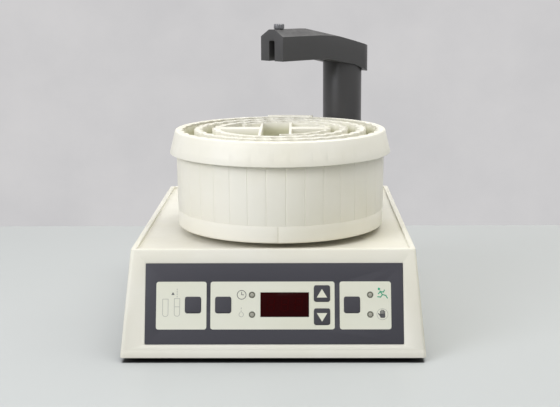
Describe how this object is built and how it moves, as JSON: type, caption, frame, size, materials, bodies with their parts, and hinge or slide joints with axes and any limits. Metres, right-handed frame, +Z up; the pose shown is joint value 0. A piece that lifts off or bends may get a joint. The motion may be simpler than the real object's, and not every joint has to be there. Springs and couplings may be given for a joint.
{
  "type": "fraction collector",
  "caption": "Bench fraction collector: wedge-fronted housing with a keypad panel, a round flare-rimmed tube rack on a turntable, and a swing arm with a drop head on a post.",
  "frame": {"origin": "under the middle of the base, at the height of the table top", "axes": "+Z up, +Y from the front panel to the back, +X to the right seen from the front"},
  "size_m": [0.257, 0.34, 0.2738],
  "materials": {
    "housing": "fine-grained ivory moulding",
    "pan": "fine-grained ivory moulding",
    "foot_rubber": "matt black",
    "steel": "bright zinc plated",
    "overlay": "printed polyester film, slate with cream fields",
    "window": "dark red tinted",
    "black_plastic": "black moulding",
    "lamp": "grey-olive, unlit",
    "circuit_board": "green solder mask",
    "components": "mixed dark parts",
    "laminations": "varnished laminations",
    "winding": "enamelled wire",
    "rocker": "black moulding",
    "socket_metal": "nickel plated",
    "aluminium": "turned",
    "hub": "turned plastic",
    "index_metal": "blackened sheet",
    "motor_metal": "black lacquer",
    "zinc_sheet": "zinc plated sheet",
    "belt_rubber": "black",
    "column": "charcoal satin",
    "rack": "ivory moulding",
    "rack_rim": "ivory moulding",
    "arm": "charcoal moulding",
    "former": "black",
    "sensor_nose": "infrared-clear black",
    "nut": "knurled, dark satin",
    "key": "dark, soft corners"
  },
  "bodies": {
    "base": {"base_housing": "housing", "base_pan": "pan", "rubber_feet": "foot_rubber", "pan_screws": "steel", "keypad_overlay": "overlay", "display_window": "window", "display_module": "black_plastic", "indicator_lamps": "lamp", "display_board": "circuit_board", "key_switches": "black_plastic", "machine_screws": "steel", "main_board": "circuit_board", "board_components": "components", "board_standoffs": "steel", "transformer_core": "laminations", "transformer_winding": "winding", "power_inlet": "black_plastic", "power_switch_frame": "black_plastic", "fuse_holder": "black_plastic", "signal_socket": "socket_metal", "spindle_housing": "aluminium", "spindle_bearings": "steel", "index_sensor": "black_plastic", "carousel_motor": "motor_metal", "carousel_motor_bracket": "zinc_sheet", "arm_motor": "motor_metal", "arm_motor_bracket": "zinc_sheet", "carousel_belt": "belt_rubber", "arm_belt": "belt_rubber", "column_housing": "aluminium"},
    "turntable": {"spindle": "steel", "driven_pulley": "aluminium", "index_disc": "index_metal", "turntable_hub": "hub"},
    "rack": {"rack_tray": "rack", "rack_outer_wall": "rack", "rack_rim": "rack_rim", "rack_middle_wall": "rack", "rack_inner_wall": "rack", "rack_core_wall": "rack", "rack_core_webs": "rack"},
    "carousel_rotor": {"carousel_motor_shaft": "steel", "carousel_motor_pulley": "aluminium"},
    "arm": {"arm_column": "column", "arm_pulley": "aluminium", "arm_shell": "arm", "arm_cover": "arm", "drop_former": "former", "drop_sensors": "sensor_nose"},
    "arm_rotor": {"arm_motor_shaft": "steel", "arm_motor_pulley": "aluminium"},
    "clamp_nut": {"tubing_clamp_nut": "nut"},
    "rocker": {"power_rocker": "rocker"},
    "left_key_body": {"left_key": "key"},
    "middle_key_body": {"middle_key": "key"},
    "right_key_body": {"right_key": "key"},
    "up_key_body": {"up_key": "key"},
    "down_key_body": {"down_key": "key"}
  },
  "joints": [
    {"name": "carousel_spin", "type": "hinge", "parent": "base", "child": "turntable", "pos_m": [0.005, -0.0367, 0.075], "axis": [0, 0, 1], "continuous": true},
    {"name": "carousel_motor_spin", "type": "hinge", "parent": "base", "child": "carousel_rotor", "pos_m": [-0.073, -0.0367, 0.045], "axis": [0, 0, 1], "continuous": true},
    {"name": "rack_lift", "type": "slide", "parent": "turntable", "child": "rack", "axis": [0, 0, 1], "range_m": [0, 0.04]},
    {"name": "arm_swing", "type": "hinge", "parent": "base", "child": "arm", "pos_m": [0.0663, 0.0733, 0.15], "axis": [0, 0, 1], "range_deg": [-95, 17.5]},
    {"name": "arm_motor_spin", "type": "hinge", "parent": "base", "child": "arm_rotor", "pos_m": [-0.0077, 0.0733, 0.045], "axis": [0, 0, 1], "range_deg": [-200, 37]},
    {"name": "clamp_nut_turn", "type": "hinge", "parent": "arm", "child": "clamp_nut", "pos_m": [0.00381, 0.01421, 0.271], "axis": [0, 0, 1], "range_deg": [0, 720]},
    {"name": "power_rocker_tilt", "type": "hinge", "parent": "base", "child": "rocker", "pos_m": [-0.042, 0.165, 0.042], "axis": [1, 0, 0], "range_deg": [0, 14]},
    {"name": "left_key_press", "type": "slide", "parent": "base", "child": "left_key_body", "axis": [0, 0.946, -0.3241], "range_m": [0, 0.0006], "stiffness_N_per_m": 1500, "springref_m": -0.0004},
    {"name": "middle_key_press", "type": "slide", "parent": "base", "child": "middle_key_body", "axis": [0, 0.946, -0.3241], "range_m": [0, 0.0006], "stiffness_N_per_m": 1500, "springref_m": -0.0004},
    {"name": "right_key_press", "type": "slide", "parent": "base", "child": "right_key_body", "axis": [0, 0.946, -0.3241], "range_m": [0, 0.0006], "stiffness_N_per_m": 1500, "springref_m": -0.0004},
    {"name": "up_key_press", "type": "slide", "parent": "base", "child": "up_key_body", "axis": [0, 0.946, -0.3241], "range_m": [0, 0.0006], "stiffness_N_per_m": 1500, "springref_m": -0.0004},
    {"name": "down_key_press", "type": "slide", "parent": "base", "child": "down_key_body", "axis": [0, 0.946, -0.3241], "range_m": [0, 0.0006], "stiffness_N_per_m": 1500, "springref_m": -0.0004}
  ],
  "couplings": [
    {"joint": "carousel_motor_spin", "follows": "carousel_spin", "ratio": 2.3},
    {"joint": "arm_motor_spin", "follows": "arm_swing", "ratio": 2.1}
  ]
}
